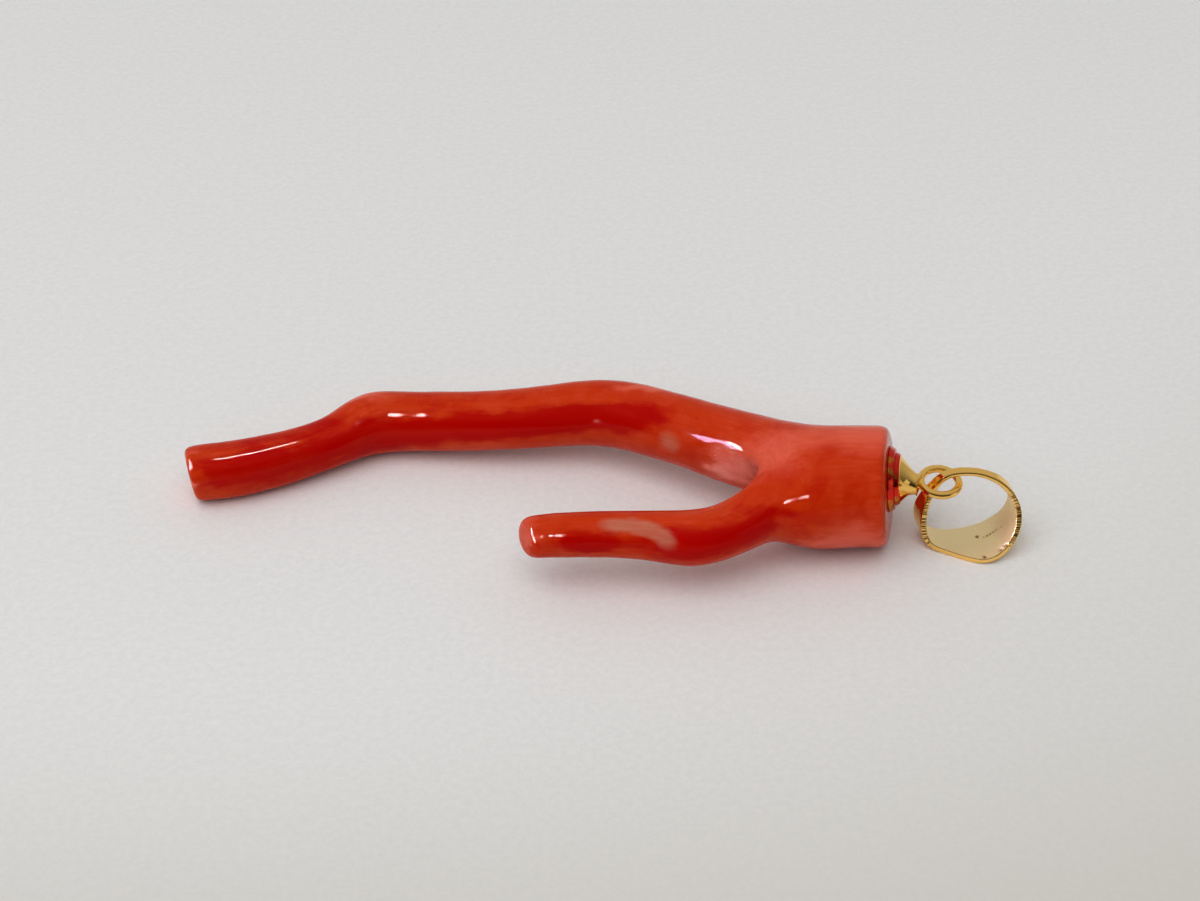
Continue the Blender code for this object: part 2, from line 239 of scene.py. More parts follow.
print("stage: coral branch")
coral = {
    "ringPoints": 8,
    "ringSwell": 1.108,     # subdivision pulls an 8-point ring in by this much
    "smoothLevels": 4,
    # x, y, z, radius and squareness of the rings
    "trunk": [
        (17.3, -2.29, 4.31, 4.26, 0.0),
        (14.4, -2.6, 4.38, 4.36, 0.0),
    ],
    "cutFace": {"centre": (20.1, -2.4, 4.33), "way": (0.978, -0.175, 0.118), "radius": 4.26, "rim": 1.3},
    "forkAxis": (10.4, -2.0, 4.16),
    "longRoot": {"centre": (11.5, 0.6, 4.3), "radius": 3.08, "way": (-0.85, 0.5, 0.0)},
    "shortRoot": {"centre": (11.3, -4.5, 4.27), "radius": 2.32, "way": (-0.84, -0.54, 0.0)},
    "crotch": [(11.1, -3.5, 6.75), (14.6, -2.3, 4.2), (14.6, -1.7, 1.4)],
    "longBranch": [
        (9.5, 2.15, 4.27, 2.72, 0.0),
        (6.9, 3.8, 4.14, 2.48, 0.0),
        (3.5, 5.85, 3.85, 2.5, 0.0),
        (0.8, 7.12, 3.62, 2.47, 0.0),
        (-1.9, 7.33, 3.4, 2.33, 0.0),
        (-5.8, 6.95, 3.07, 2.18, 0.02),
        (-10.9, 7.3, 2.65, 2.12, 0.03),
        (-14.6, 7.75, 2.35, 2.12, 0.03),
        (-16.5, 7.7, 2.28, 2.33, 0.03),
        (-17.9, 6.85, 2.2, 2.03, 0.05),
        (-19.4, 5.62, 2.03, 1.66, 0.08),
        (-22.4, 3.95, 1.95, 1.77, 0.12),
        (-26.4, 2.5, 1.92, 1.9, 0.13),
    ],
    "longTip": {
        "centre": (-29.34, 2.02, 1.9), "way": (-0.96, -0.25, -0.12), "radius": 1.86, "rim": 1.0,
        "squareness": 0.1,
    },
    "shortBranch": [
        (9.7, -6.1, 4.12, 1.92, 0.0),
        (8.1, -7.13, 4.02, 1.88, 0.0),
        (6.2, -7.6, 3.95, 1.97, 0.0),
        (4.2, -7.35, 4.0, 1.8, 0.0),
        (1.8, -7.12, 4.05, 1.57, 0.0),
        (-2.2, -7.47, 4.25, 1.57, 0.0),
    ],
    "shortTip": {
        "centre": (-5.15, -7.83, 4.22), "way": (-0.88, -0.45, 0.14), "radius": 1.46, "rim": 1.35,
        "squareness": 0.0,
    },
    "waves": [(0.35, 0.035), (0.9, 0.012)],     # waves per mm and height of the polish's unevenness
    "seed": (13.0, 5.0, 2.0),
    "grainStep": 0.25,          # distance of the points that the grain follows
    "grainSmoothings": 6,
    "grainReach": 0.8,          # square of the distance over which near points share a vertex
    "forkBlend": 2.0,           # width over which the two branches' grain runs together
}


# Sideways and upward directions across a branch
def ringAxes(way):
    forward = Vector(way).normalized()
    up = Vector((0, 0, 1))
    up = (up - forward * up.dot(forward)).normalized()
    return forward.cross(up), up


def ringPoint(centre, way, radius, squareness, index):
    side, up = ringAxes(way)
    angle = 2 * math.pi * index / coral["ringPoints"]
    reach = radius * coral["ringSwell"] * (1 + squareness * (index % 2))
    return (Vector(centre) + (side * math.cos(angle) + up * math.sin(angle)) * reach) * unit


def addRing(bm, centre, way, radius, squareness=0.0):
    count = coral["ringPoints"]
    return [bm.verts.new(ringPoint(centre, way, radius, squareness, i)) for i in range(count)]


def joinRings(bm, first, second, indices=None):
    count = coral["ringPoints"]
    for i in indices or range(count):
        j = (i + 1) % count
        bm.faces.new((first[i], second[i], second[j], first[j]))


def routeWay(route, index):
    before = Vector(route[max(index - 1, 0)][:3])
    after = Vector(route[min(index + 1, len(route) - 1)][:3])
    return after - before


# A flat end with a rounded rim; the ring behind the rim leans half as much as the end does
def closeEnd(bm, ring, tip, before, flip=False):
    facing = Vector(tip["way"]).normalized()
    axis = (Vector(tip["centre"]) - Vector(before[:3])).normalized()
    leaning = (facing + axis).normalized()
    behind = Vector(tip["centre"]) - leaning * tip["rim"]
    squareness = tip.get("squareness", 0.0)
    inner = tip["radius"] - tip["rim"]
    rings = (
        (behind, leaning, tip["radius"]),
        (tip["centre"], facing, tip["radius"]),
        (tip["centre"], facing, inner),
    )
    for place, way, size in rings:
        following = addRing(bm, place, -way if flip else way, size, squareness)
        if flip:
            joinRings(bm, following, ring)
        else:
            joinRings(bm, ring, following)
        ring = following
    bm.faces.new(ring)


# A ring at a branch's root, sharing the crotch's points on its inner side
def rootRing(bm, root, shared):
    ring = []
    for index in range(coral["ringPoints"]):
        place = ringPoint(root["centre"], root["way"], root["radius"], 0.0, index)
        ring.append(shared[index] if index in shared else bm.verts.new(place))
    return ring


# Rings along a branch from its root, and its closed tip
def growBranch(bm, ring, root, stations, tip):
    route = [root["centre"], *stations, tip["centre"]]
    for index, (x, y, z, radius, squareness) in enumerate(stations, start=1):
        following = addRing(bm, (x, y, z), routeWay(route, index), radius, squareness)
        joinRings(bm, ring, following)
        ring = following
    closeEnd(bm, ring, tip, stations[-1])


# The fork ring's halves run into the two roots, and the crotch's points close the gap between them
def buildCoralCage():
    bm = bmesh.new()
    route = [coral["cutFace"]["centre"], *coral["trunk"], coral["forkAxis"]]
    rings = []
    for index, (x, y, z, radius, squareness) in enumerate(coral["trunk"], start=1):
        rings.append(addRing(bm, (x, y, z), routeWay(route, index), radius, squareness))
    for first, second in zip(rings, rings[1:]):
        joinRings(bm, first, second)
    closeEnd(bm, rings[0], coral["cutFace"], coral["trunk"][0], flip=True)
    fork = rings[-1]
    crotch = [bm.verts.new(Vector(place) * unit) for place in coral["crotch"]]
    longRing = rootRing(bm, coral["longRoot"], {3: crotch[0], 4: crotch[1], 5: crotch[2]})
    shortRing = rootRing(bm, coral["shortRoot"], {1: crotch[0], 0: crotch[1], 7: crotch[2]})
    joinRings(bm, fork, longRing, (6, 7, 0, 1))
    joinRings(bm, fork, shortRing, (2, 3, 4, 5))
    bm.faces.new((fork[2], longRing[2], crotch[0], shortRing[2]))
    bm.faces.new((fork[6], shortRing[6], crotch[2], longRing[6]))
    growBranch(bm, longRing, coral["longRoot"], coral["longBranch"], coral["longTip"])
    growBranch(bm, shortRing, coral["shortRoot"], coral["shortBranch"], coral["shortTip"])
    bmesh.ops.recalc_face_normals(bm, faces=bm.faces)
    mesh = bpy.data.meshes.new("coralCage")
    bm.to_mesh(mesh)
    bm.free()
    return mesh


# Even points along a branch's axis, from the sawn end to a tip
def denseRoute(places):
    dense = []
    for first, second in zip(places, places[1:]):
        first, second = Vector(first[:3]), Vector(second[:3])
        count = max(2, int((second - first).length / coral["grainStep"]))
        dense += [first.lerp(second, i / count) for i in range(count)]
    dense.append(Vector(places[-1][:3]))
    for _ in range(coral["grainSmoothings"]):
        inner = [(a + b * 2 + c) / 4 for a, b, c in zip(dense, dense[1:], dense[2:])]
        dense = [dense[0], *inner, dense[-1]]
    return dense


# How far each vertex lies along the branch, sideways and up from its axis, and its distance to it
def grainAlong(points, route):
    centres = np.array(route)
    steps = np.linalg.norm(np.diff(centres, axis=0), axis=1)
    lengths = np.concatenate([[0.0], np.cumsum(steps)])
    ways = np.gradient(centres, axis=0)
    axes = [ringAxes(way) for way in ways]
    sides = np.array([side for side, up in axes])
    ups = np.array([up for side, up in axes])
    forwards = ways / np.linalg.norm(ways, axis=1)[:, None]
    gaps = ((points[:, None, :] - centres[None]) ** 2).sum(axis=2)
    least = gaps.min(axis=1)
    shares = np.exp(-(gaps - least[:, None]) / coral["grainReach"])
    shares /= shares.sum(axis=1)[:, None]

    # a mean over the nearest centres, so that the grain has no steps
    def measure(directions, starts):
        return (shares * (points @ directions.T - (centres * directions).sum(axis=1) + starts)).sum(axis=1)

    grain = [measure(forwards, lengths), measure(sides, 0.0), measure(ups, 0.0)]
    return np.stack(grain, axis=1), np.sqrt(least)


def addGrain(mesh):
    points = np.array([v.co for v in mesh.vertices]) / unit
    start = [coral["cutFace"]["centre"], *coral["trunk"]]
    longRoute = [*start, coral["longRoot"]["centre"], *coral["longBranch"], coral["longTip"]["centre"]]
    shortRoute = [*start, coral["shortRoot"]["centre"], *coral["shortBranch"], coral["shortTip"]["centre"]]
    longGrain, longGap = grainAlong(points, denseRoute(longRoute))
    shortGrain, shortGap = grainAlong(points, denseRoute(shortRoute))
    share = np.clip((longGap - shortGap) / coral["forkBlend"] + 0.5, 0, 1)[:, None]
    grain = longGrain * (1 - share) + shortGrain * share
    layer = mesh.attributes.new("grain", "FLOAT_VECTOR", "POINT")
    layer.data.foreach_set("vector", grain.astype(np.float32).ravel())


# The polished skin isn't quite even, so its highlights waver
def addWaves(mesh):
    seed = Vector(coral["seed"])
    normals = [v.normal.copy() for v in mesh.vertices]
    for vertex, normal in zip(mesh.vertices, normals):
        place = vertex.co / unit
        lift = sum(noise.noise(place * rate + seed) * height for rate, height in coral["waves"])
        vertex.co = vertex.co + normal * (lift * unit)
    mesh.update()


# The coral's colouring, partly painted light: middle of each patch and its reach along x, y and z, and a
# tone for each kind
colouring = {
    "deepRed": [
        ((-27.6, 1.2, 2.6), (2.0, 1.3, 1.3)),
        ((-24.0, 2.0, 2.8), (5.2, 2.6, 1.8)),
        ((-19.0, 4.8, 2.8), (4.0, 2.4, 2.2)),
        ((-15.0, 5.9, 2.6), (3.4, 1.8, 1.6)),
        ((-10.5, 5.5, 3.4), (4.2, 2.0, 1.5)),
        ((-7.2, 5.3, 3.8), (3.0, 1.6, 1.3)),
        ((-4.0, 5.2, 4.3), (4.6, 1.8, 1.3)),
        ((-0.8, 4.9, 4.8), (3.0, 1.5, 1.3)),
        ((2.2, 4.2, 5.2), (3.6, 1.7, 1.5)),
        ((6.0, -9.0, 4.6), (4.0, 2.0, 1.9)),
        ((10.6, -7.4, 4.9), (3.2, 2.2, 1.6)),
        ((-0.5, -8.8, 4.6), (3.4, 1.2, 1.1)),
    ],
    # salmon patches: partly the coral's colour, partly painted light; those on the tops of the trunk, fork
    # and long branch are a painted sheen, and the one at the crotch paints light into its shade
    "salmon": [
        ((17.3, -6.2, 2.9), (3.4, 2.0, 2.0)),
        ((9.0, -0.6, 4.4), (2.8, 1.9, 2.4)),
        ((12.0, -2.4, 7.2), (4.2, 2.6, 2.4)),
        ((18.3, -1.6, 8.4), (4.2, 2.6, 1.4)),
        ((3.5, 6.6, 6.0), (3.2, 0.8, 0.7)),
        ((-5.9, -8.2, 4.2), (1.7, 2.4, 2.4)),
        ((-31.0, 1.7, 1.8), (2.6, 3.2, 2.6)),
        ((-17.0, 8.4, 3.8), (2.6, 1.4, 1.2)),
    ],
    # pink patches are painted light: they brighten the shade in the crotch by the long branch's root, and
    # the left tip's end beside its highlight
    "pink": [
        ((9.6, -0.9, 4.4), (2.2, 1.9, 2.0)),
        ((8.5, -0.1, 3.8), (1.3, 1.0, 1.0)),
        ((-29.7, 1.1, 2.3), (0.85, 2.4, 2.0)),
    ],
    "pale": [
        ((0.6, -7.95, 5.55), (1.0, 0.8, 0.8)),
        ((1.5, -7.9, 5.65), (1.0, 0.8, 0.8)),
        ((2.4, -8.0, 5.65), (1.0, 0.8, 0.8)),
        ((3.2, -8.25, 5.5), (1.0, 0.8, 0.8)),
        ((3.9, -8.6, 5.25), (1.0, 0.9, 0.9)),
        ((4.6, -8.9, 4.9), (0.9, 0.8, 0.9)),
        ((5.0, 2.2, 4.6), (1.1, 1.0, 1.0)),
    ],
    "scratched": [((9.0, -0.3, 5.3), (1.9, 1.3, 1.0))],
    "deepTone": (0.46, 0.001, 0.0),
    "orangeTone": (0.58, 0.048, 0.005),
    # salmon and pink tones also serve as painted light: painted sheen on the tops and lifted shade in the
    # crotch
    "salmonTone": (0.80, 0.16, 0.10),
    "paleTone": (0.55, 0.20, 0.13),
    "pinkTone": (0.98, 0.34, 0.28),
    "scratchTone": (0.90, 0.55, 0.50),
    "patchSpread": 1.7,         # a patch fades out where the squared distance, in reaches, is this
    "raggedness": (5.0, 1.6, 1.6),          # how far, in mm, the noise carries the patches' edges
    "paleRaggedness": (1.4, 0.7, 0.7),
    "polish": 0.06,             # roughness of the bare polish
}


# 1 inside the patches and 0 outside; near patches flow together, and fray makes their edges streaky
def patchMask(place, patches, low, high, fray=None):
    total = fray
    for centre, reach in patches:
        away = (place - centre) / reach
        gap = away.node("ShaderNodeVectorMath", {"operation": "DOT_PRODUCT"}, {0: away, 1: away}, "Value")
        spot = 1.0 - gap / colouring["patchSpread"]
        spot = spot.maths("MAXIMUM", spot, 0.0) ** 2.0
        total = spot if total is None else total + spot
    return total.step(low, high)


def makeCoralMaterial():
    fixed = {
        "Metallic": 0.0,
        "IOR": 1.5,
        "Specular IOR Level": 0.12,
        "Subsurface Weight": 0.25,
        "Subsurface Radius": (1.0, 0.22, 0.12),
        "Subsurface Scale": 0.0008,
    }
    material, shader, start = startMaterial("polishedCoral", fixed)
    place = start.surface()
    grain = start.layer("grain", "Vector")
    # streaks and fibres run along the grain; the clouds and the swirl that frays the patches don't
    swirl = place.node("ShaderNodeTexNoise", {}, {
        "Vector": place * (0.5, 0.9, 0.9), "Scale": 1.0, "Detail": 4.0}, 1) - (0.5, 0.5, 0.5)
    streaks = (grain * (0.10, 0.8, 0.8)).texture(1.0, 5.0, 0.6, 0.4).step(0.36, 0.66)
    fibres = (grain * (0.3, 4.5, 4.5)).texture(1.0, 4.0, 0.6).step(0.3, 0.75)
    clouds = place.texture(0.4, 4.0, 0.6, 0.5).step(0.35, 0.65)
    ragged = place + swirl * colouring["raggedness"]
    soft = place + swirl * colouring["paleRaggedness"]
    deep = patchMask(ragged, colouring["deepRed"], 0.12, 0.8, (streaks - 0.5) * 0.3)
    # salmon and pink masks carry painted light: painted sheen on the tops and lifted shade in the crotch
    salmon = patchMask(ragged, colouring["salmon"], 0.0, 0.95)
    pink = patchMask(ragged, colouring["pink"], 0.0, 1.6)
    pale = patchMask(soft, colouring["pale"], 0.1, 1.3)
    # fine pale scratches follow the contours of a noise
    line = place.texture(2.2, 3.0, 0.6, 1.0) - 0.5
    scratch = line.maths("ABSOLUTE", line).step(0.014, 0.0)
    scratch = scratch * patchMask(place, colouring["scratched"], 0.05, 0.5) * fibres.step(0.3, 0.6)
    base = start.colour(colouring["orangeTone"])
    # each tone goes over the ones before it, where its mask is
    coats = (
        ("salmonTone", fibres * clouds * 0.2),
        ("deepTone", streaks * (1.0 - clouds) * 0.5),
        ("deepTone", deep * (0.85 + streaks * 0.15)),
        # the salmon and pink coats are partly a painted sheen and painted light in the crotch's shade
        ("salmonTone", salmon * (0.65 + fibres * 0.2)),
        ("pinkTone", pink),
        ("paleTone", pale * (0.65 + fibres * 0.3)),
        ("scratchTone", scratch * 0.8),
    )
    for tone, mask in coats:
        base = base.blend(start.colour(colouring[tone]), mask)
    base.feed(shader, "Base Color")
    rough = colouring["polish"] + fibres * 0.03 + scratch * 0.4
    rough.feed(shader, "Roughness")
    return material


def buildCoral():
    cage = addObject("coralCage", buildCoralCage())
    smoothing = cage.modifiers.new("smooth", "SUBSURF")
    smoothing.levels = coral["smoothLevels"]
    smoothing.render_levels = coral["smoothLevels"]
    branch = freeze(cage, "coral_branch", makeCoralMaterial())
    addGrain(branch.data)
    addWaves(branch.data)
    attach(branch, "pendant")
    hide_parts("coral_trunk", "coral_long_branch", "coral_short_branch")


buildCoral()

print("stage: gold cap")
cap = {
    "offset": (0.45, 0.34),     # y and z from the middle of the sawn face to the cap's
    # radius, height above the sawn face and rounding of each corner of the turned outline
    "discs": [
        (2.30, -0.02, 0.0),
        (2.33, 0.07, 0.05),
        (2.08, 0.40, 0.06),
        (1.84, 0.42, 0.03),
        (1.87, 0.48, 0.04),
        (1.70, 0.77, 0.06),
    ],
    "cone": {"foot": 1.62, "tip": 0.78, "low": 0.78, "high": 1.86, "curve": 1.75, "steps": 30},
    "coralReflectionTop": 0.74,           # the discs below this height get a painted reflection of the red coral
    "lean": (0.0, -0.22, -0.29),    # how far the cone's tip leans from the axis
    "segments": 144,
    "cornerSteps": 5,
}


# Matrix from millimetres at the cap's middle on the sawn face, +Z outward, to the scene
def capFrame():
    facing = Vector(coral["cutFace"]["way"]).normalized()
    offset = Vector((0, *cap["offset"]))
    offset.x = -offset.dot(facing) / facing.x
    middle = (Vector(coral["cutFace"]["centre"]) + offset) * unit
    turn = facing.to_track_quat("Z", "X").to_matrix().to_4x4()
    return Matrix.Translation(middle) @ turn @ Matrix.Scale(unit, 4)


# An outline with each corner replaced by a small curve
def roundCorners(outline, steps):
    points = []
    for index, (radius, height, rounding) in enumerate(outline):
        corner = Vector((radius, height))
        if rounding == 0 or index in (0, len(outline) - 1):
            points.append(corner)
            continue
        before = Vector(outline[index - 1][:2])
        after = Vector(outline[index + 1][:2])
        start = corner + (before - corner).normalized() * rounding
        end = corner + (after - corner).normalized() * rounding
        for k in range(steps + 1):
            t = k / steps
            points.append(start * (1 - t) ** 2 + corner * 2 * t * (1 - t) + end * t ** 2)
    return points


# A closed turned body from its outline's radii and heights
def turnOutline(bm, points, segments):
    rings = []
    for radius, height in points:
        ring = []
        for k in range(segments):
            angle = 2 * math.pi * k / segments
            ring.append(bm.verts.new((radius * math.cos(angle), radius * math.sin(angle), height)))
        rings.append(ring)
    for first, second in zip(rings, rings[1:]):
        for k in range(segments):
            j = (k + 1) % segments
            bm.faces.new((first[k], first[j], second[j], second[k]))
    bm.faces.new(rings[0])
    bm.faces.new(rings[-1])


def meshFrom(bm, name):
    bmesh.ops.recalc_face_normals(bm, faces=bm.faces)
    mesh = bpy.data.meshes.new(name)
    bm.to_mesh(mesh)
    bm.free()
    return mesh


# The trumpet's outline, which flares towards its foot
def conePoints():
    cone = cap["cone"]
    points = []
    for k in range(cone["steps"] + 1):
        t = k / cone["steps"]
        radius = cone["tip"] + (cone["foot"] - cone["tip"]) * (1 - t) ** cone["curve"]
        points.append((radius, cone["low"] + (cone["high"] - cone["low"]) * t, 0.0))
    return points


# One gold for cap, ring and bail. Point attributes vary it: worn is 1 where it is brushed and paler,
# dirt where it is dark, a painted reflection of the red coral on the cap's lower discs, and brushed is the
# place along and across the bail's band
gold = {
    "tone": (1.0, 0.64, 0.19),
    "paleTone": (1.0, 0.85, 0.55),
    "dirtTone": (0.10, 0.035, 0.01),
    # the painted reflection of the red coral on the cap's lower discs, and its brown patches
    "coralReflectionTone": (0.70, 0.045, 0.03),
    "brownPatchTone": (0.55, 0.24, 0.04),
    "polish": 0.09,             # roughness of the bare polish
    "bumpStrength": 0.25,
    "bumpHeight": 0.00003,      # metres
}


def makeGoldMaterial():
    material, shader, start = startMaterial("polishedGold", {"Metallic": 1.0})
    place = start.surface()
    worn = start.layer("worn")
    dirt = start.layer("dirt")
    clouds = place.texture(1.3, 4.0, 0.6).step(0.3, 0.7)
    grain = (start.layer("brushed", "Vector") * (0.9, 9.0, 9.0)).texture(1.0, 5.0, 0.65)
    # painted reflection of the red coral on the cap's lower discs, broken by brown patches
    brownPatch = place.texture(1.1, 3.0, 0.6, 0.6).step(0.52, 0.62)
    coralReflection = start.colour(gold["coralReflectionTone"]).blend(gold["brownPatchTone"], brownPatch)
    tone = start.colour(gold["tone"]).blend(gold["paleTone"], worn * (0.55 + grain * 0.6))
    tone = tone.blend(coralReflection, start.layer("coralReflection"))
    tone = tone.blend(gold["dirtTone"], dirt)
    tone.feed(shader, "Base Color")
    rough = gold["polish"] + clouds * 0.06 + worn * (0.22 + grain * 0.22) + dirt * 0.3
    rough.feed(shader, "Roughness")
    uneven = place.texture(2.2, 3.0, 0.5) * (1.0 - worn) + grain * worn * 0.5
    bump = start.node("ShaderNodeBump", {}, {
        "Strength": gold["bumpStrength"], "Distance": gold["bumpHeight"], "Height": uneven}, "Normal")
    bump.feed(shader, "Normal")
    return material


goldMaterial = makeGoldMaterial()


# How far the cone's tip leans, in the cap's own frame
def tipLean():
    return capFrame().to_3x3().inverted() @ (Vector(cap["lean"]) * unit)


# Moves each level of a turned mesh sideways, from start at the low level to end at the high one
def slant(mesh, low, high, start, end, growth):
    for vertex in mesh.vertices:
        share = min(1.0, max(0.0, (vertex.co.z - low) / (high - low))) ** growth
        vertex.co.xy += start.xy.lerp(end.xy, share)


def buildCap():
    bm = bmesh.new()
    turnOutline(bm, roundCorners(cap["discs"] + conePoints(), cap["cornerSteps"]), cap["segments"])
    mesh = meshFrom(bm, "cap")
    # the cone leans more towards its tip, as it was soldered a little askew
    slant(mesh, cap["cone"]["low"], cap["cone"]["high"], Vector((0, 0, 0)), tipLean(), 2)
    # 1 on the lower discs, where the painted reflection of the red coral goes
    coralReflection = mesh.attributes.new("coralReflection", "FLOAT", "POINT")
    for vertex, value in zip(mesh.vertices, coralReflection.data):
        value.value = 0.0 if vertex.co.z > cap["coralReflectionTop"] else 1.0
    mesh.transform(capFrame())
    mesh.shade_smooth()
    piece = addObject("turned_cap", mesh, goldMaterial)
    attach(piece, "pendant")
    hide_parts("cap")


buildCap()

print("stage: eye ring")
eyeRing = {
    "middle": (23.518, -2.4815, 4.8304),
    "way": (0.984, -0.17, -0.045),
    "nearSideDrop": 5.0,        # degrees
    "sizes": {
        "Ring Radius": 1.32,
        "Wire Radius": 0.28,
        "Ring Steps": 160,
        "Wire Steps": 32,
        "Unevenness": 0.03,
        "Seed": 4.0,
    },
    # radius of the solder neck and height above the cone's tip, from inside it to the ring's wire
    "neck": [(0.72, -0.15), (0.77, 0.0), (0.68, 0.08), (0.56, 0.17), (0.45, 0.27), (0.32, 0.36)],
    "neckSegments": 48,
    "voxel": 0.028,
    "smoothings": 14,
}


# Matrix from millimetres in the ring's own frame, X away from the cone and Z up, to the scene
def eyeFrame():
    along = Vector(eyeRing["way"]).normalized()
    across = Vector((0, 0, 1)).cross(along).normalized()
    level = along.cross(across)
    tilt = Matrix.Rotation(math.radians(eyeRing["nearSideDrop"]), 3, along)
    turn = Matrix((along, tilt @ across, tilt @ level)).transposed().to_4x4()
    return Matrix.Translation(Vector(eyeRing["middle"]) * unit) @ turn @ Matrix.Scale(unit, 4)


# The neck stands on the cone's leaning tip and runs over to the near wire of the ring
def buildNeck():
    bm = bmesh.new()
    turnOutline(bm, eyeRing["neck"], eyeRing["neckSegments"])
    mesh = meshFrom(bm, "solderNeck")
    mesh.transform(Matrix.Translation((0, 0, cap["cone"]["high"])))
    wire = capFrame().inverted() @ eyeFrame() @ Vector((-eyeRing["sizes"]["Ring Radius"], 0, 0))
    slant(mesh, cap["cone"]["high"], wire.z, tipLean(), wire, 1)
    mesh.transform(eyeFrame().inverted() @ capFrame())
    return mesh


# The wire bent to a ring, in millimetres; a noise makes it slightly uneven, as bent by hand
def growRing(inputs):
    inputs = {**inputs, "Material": goldMaterial}
    tree, start = startTree("bentWireRing", inputs)
    shape = start["Shape"]
    loop = shape.node("GeometryNodeCurvePrimitiveCircle", {"mode": "RADIUS"}, {
        "Resolution": start["Ring Steps"], "Radius": start["Ring Radius"]}, "Curve")
    wire = shape.node("GeometryNodeCurvePrimitiveCircle", {"mode": "RADIUS"}, {
        "Resolution": start["Wire Steps"], "Radius": start["Wire Radius"]}, "Curve")
    shape = loop.node("GeometryNodeCurveToMesh", {}, {"Curve": loop, "Profile Curve": wire})
    place = shape.node("GeometryNodeInputPosition")
    outward = shape.node("GeometryNodeInputNormal", {}, {}, "Normal")
    waver = place.node("ShaderNodeTexNoise", {"noise_dimensions": "4D"}, {
        "Vector": place, "W": start["Seed"], "Scale": 1.4, "Detail": 2.0}, 0)
    shape = shape.node("GeometryNodeSetPosition", {}, {
        "Geometry": shape, "Offset": outward * ((waver - 0.5) * start["Unevenness"])})
    endTree(tree, shape, start["Material"])
    return runTree("eyeRingSeed", bpy.data.meshes.new("eyeRingSeed"), tree, inputs)


# The ring and its solder neck are joined, then skinned over so that they flow into each other
def buildEyeRing():
    ring = freeze(growRing(eyeRing["sizes"]), "eyeRingWire", goldMaterial)
    bm = bmesh.new()
    bm.from_mesh(ring.data)
    bm.from_mesh(buildNeck())
    bm.to_mesh(ring.data)
    bm.free()
    skin = ring.modifiers.new("skin", "REMESH")
    skin.mode = "VOXEL"
    skin.voxel_size = eyeRing["voxel"]
    soften = ring.modifiers.new("soften", "SMOOTH")
    soften.factor = 0.5
    soften.iterations = eyeRing["smoothings"]
    piece = freeze(ring, "wire_eye", goldMaterial, eyeFrame())
    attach(piece, "pendant")
    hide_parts("eye_ring")


buildEyeRing()

print("stage: bail")
bail = {
    "skewAngle": 10.0,      # degrees that the band's width turns towards -X at its far edge
    # x and z of the band's middle, y of its near and far edges, round the loop
    "stations": [
        (22.8, 0.3, -4.1, -1.9),
        (24.3, 0.2, -4.75, -2.35),
        (26.3, 0.2, -5.9, -2.0),
        (27.7, 0.6, -5.3, -1.65),
        (28.7, 1.6, -4.5, -1.6),
        (29.0, 2.9, -3.75, -1.6),
        (28.5, 4.3, -3.25, -1.9),
        (27.15, 5.5, -2.95, -2.15),
        (25.4, 5.9, -2.88, -2.2),
        (24.0, 5.65, -2.85, -2.15),
        (23.3, 4.85, -2.85, -2.1),
        (22.75, 3.8, -3.0, -1.9),
        (22.35, 2.6, -3.4, -1.7),
        (22.35, 1.25, -3.8, -1.6),
    ],
    "steps": 760,
    # cross-section before it gets its real sizes, and its points at each corner
    "outline": {"width": 2.0, "height": 0.8, "corner": 0.2, "points": 6},
    "narrowHalf": (1.0, 0.35),      # half widths between which the band turns nearly round
    "nearRim": (0.12, 0.02),        # distances from the near edge between which the rim begins
    "notchMiddle": 25.7,            # x of the bail's middle, where the rim has no notches
    "notchSides": (2.3, 2.9),       # distances from it between which they begin
    "innerFace": (0.08, -0.12),     # heights in the band between which its inner face begins
    "sizes": {
        "Outline Points": 84,
        "Thickness": 0.40,
        "Corner Radius": 0.09,
        "Narrow Radius": 0.18,
        "Notch Pitch": 0.11,
        "Notch Depth": 0.03,
        "Dent Height": 0.06,
        "Seed": 11.0,
    },
    # middle, reach and depth of the small marks on the inner face
    "marks": [
        ((26.42, -3.22, 0.52), (0.20, 0.17, 0.20), 0.10),
        ((26.71, -5.36, 0.51), (0.26, 0.24, 0.25), 0.12),
        ((26.95, -3.42, 0.62), (0.22, 0.06, 0.25), 0.04),
        ((27.15, -3.34, 0.72), (0.22, 0.07, 0.25), 0.05),
        ((27.35, -3.27, 0.83), (0.22, 0.07, 0.25), 0.05),
        ((27.55, -3.20, 0.95), (0.22, 0.07, 0.25), 0.05),
        ((27.75, -3.14, 1.09), (0.22, 0.07, 0.27), 0.05),
        ((27.95, -3.08, 1.25), (0.22, 0.06, 0.27), 0.04),
        ((27.80, -5.05, 0.88), (0.40, 0.15, 0.30), 0.12),
        ((28.15, -4.85, 1.10), (0.30, 0.14, 0.35), 0.10),
    ],
    "markDirt": 0.9,
}


# The stations' values at even steps round the loop, as a closed B-spline smooths them
def bandRows():
    stations = np.array(bail["stations"])
    count = len(stations)
    at = np.arange(bail["steps"]) * count / bail["steps"]
    whole = at.astype(int)
    t = (at - whole)[:, None]
    weights = ((1 - t) ** 3, 3 * t ** 3 - 6 * t ** 2 + 4, -3 * t ** 3 + 3 * t ** 2 + 3 * t + 1, t ** 3)
    return sum(w * stations[(whole + k - 1) % count] for k, w in enumerate(weights)) / 6


